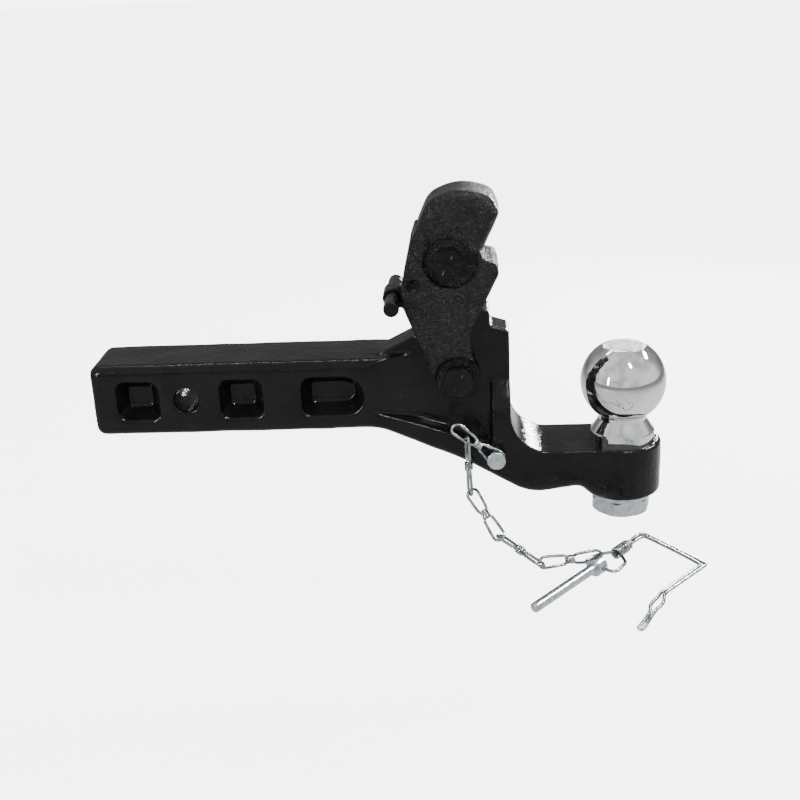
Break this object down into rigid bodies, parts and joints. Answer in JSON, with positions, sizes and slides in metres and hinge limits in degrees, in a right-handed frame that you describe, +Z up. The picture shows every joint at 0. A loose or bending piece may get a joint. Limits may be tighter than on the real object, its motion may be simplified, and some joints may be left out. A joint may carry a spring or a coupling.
{
  "type": "trailer hitch with ball",
  "caption": "Combination trailer hitch: square receiver shank, pivoting pintle jaw with sprung latch, chromed tow ball on a platform, and a lock pin on a wire chain.",
  "frame": {"origin": "centre of the hitch pin hole in the shank", "axes": "+X along the shank towards the ball, +Y along the hitch pin hole, +Z up"},
  "size_m": [0.4097, 0.2049, 0.2391],
  "materials": {
    "black_paint": "gloss black paint over cast iron",
    "chrome": "polished chrome",
    "zinc": "bright zinc plate",
    "spring_steel": "oiled spring wire"
  },
  "bodies": {
    "hitch": {"hitch_body": "black_paint", "jaw_pivot_bolt": "black_paint", "jaw_pivot_nut": "black_paint", "tow_ball": "chrome", "ball_lock_washer": "zinc", "ball_nut": "zinc", "chain_stud": "zinc"},
    "jaw": {"jaw": "black_paint", "latch_pivot_bolt": "black_paint", "latch_pivot_nut": "black_paint", "latch_spring": "spring_steel"},
    "latch": {"latch": "black_paint", "latch_crossbar": "black_paint"},
    "link_1": {"chain_link_1": "zinc"},
    "link_2": {"chain_link_2": "zinc"},
    "link_3": {"chain_link_3": "zinc"},
    "link_4": {"chain_link_4": "zinc"},
    "link_5": {"chain_link_5": "zinc"},
    "bail": {"lock_bail": "zinc"},
    "lock_pin": {"lock_pin": "zinc"}
  },
  "joints": [
    {"name": "jaw_pivot", "type": "hinge", "parent": "hitch", "child": "jaw", "pos_m": [0.1873, 0, 0.0086], "axis": [0, 1, 0], "range_deg": [0, 66]},
    {"name": "latch_lift", "type": "hinge", "parent": "jaw", "child": "latch", "pos_m": [0.1824, 0, 0.0904], "axis": [0, 1, 0], "range_deg": [0, 15], "stiffness_Nm_per_rad": 4, "springref_deg": -20.05, "deforming": ["latch_spring"]},
    {"name": "chain_swing", "type": "hinge", "parent": "hitch", "child": "link_1", "pos_m": [0.2118, -0.031, -0.0457], "axis": [0, 1, 0], "range_deg": [-12, 12]},
    {"name": "link_2_swing", "type": "hinge", "parent": "link_1", "child": "link_2", "pos_m": [0.19209, -0.031, -0.02937], "axis": [0.3099, -0.9496, 0.0473], "range_deg": [-20, 8]},
    {"name": "link_3_swing", "type": "hinge", "parent": "link_2", "child": "link_3", "pos_m": [0.19327, -0.03258, -0.06892], "axis": [0.8457, 0.1902, 0.4986], "range_deg": [-15, 15]},
    {"name": "link_4_swing", "type": "hinge", "parent": "link_3", "child": "link_4", "pos_m": [0.21193, -0.0605, -0.08991], "axis": [0.6648, 0.6308, -0.4003], "range_deg": [-15, 15]},
    {"name": "link_5_swing", "type": "hinge", "parent": "link_4", "child": "link_5", "pos_m": [0.23728, -0.09049, -0.09506], "axis": [0.0074, -0.1085, -0.9941], "range_deg": [-15, 15]},
    {"name": "bail_swing", "type": "hinge", "parent": "link_5", "child": "bail", "pos_m": [0.27891, -0.07978, -0.09592], "axis": [-0.0074, 0.1085, 0.9941], "range_deg": [-10, 10]},
    {"name": "lock_pin_hinge", "type": "hinge", "parent": "bail", "child": "lock_pin", "pos_m": [0.27447, -0.09385, -0.096], "axis": [0.7632, -0.6462, 0], "range_deg": [-40, 40]}
  ]
}
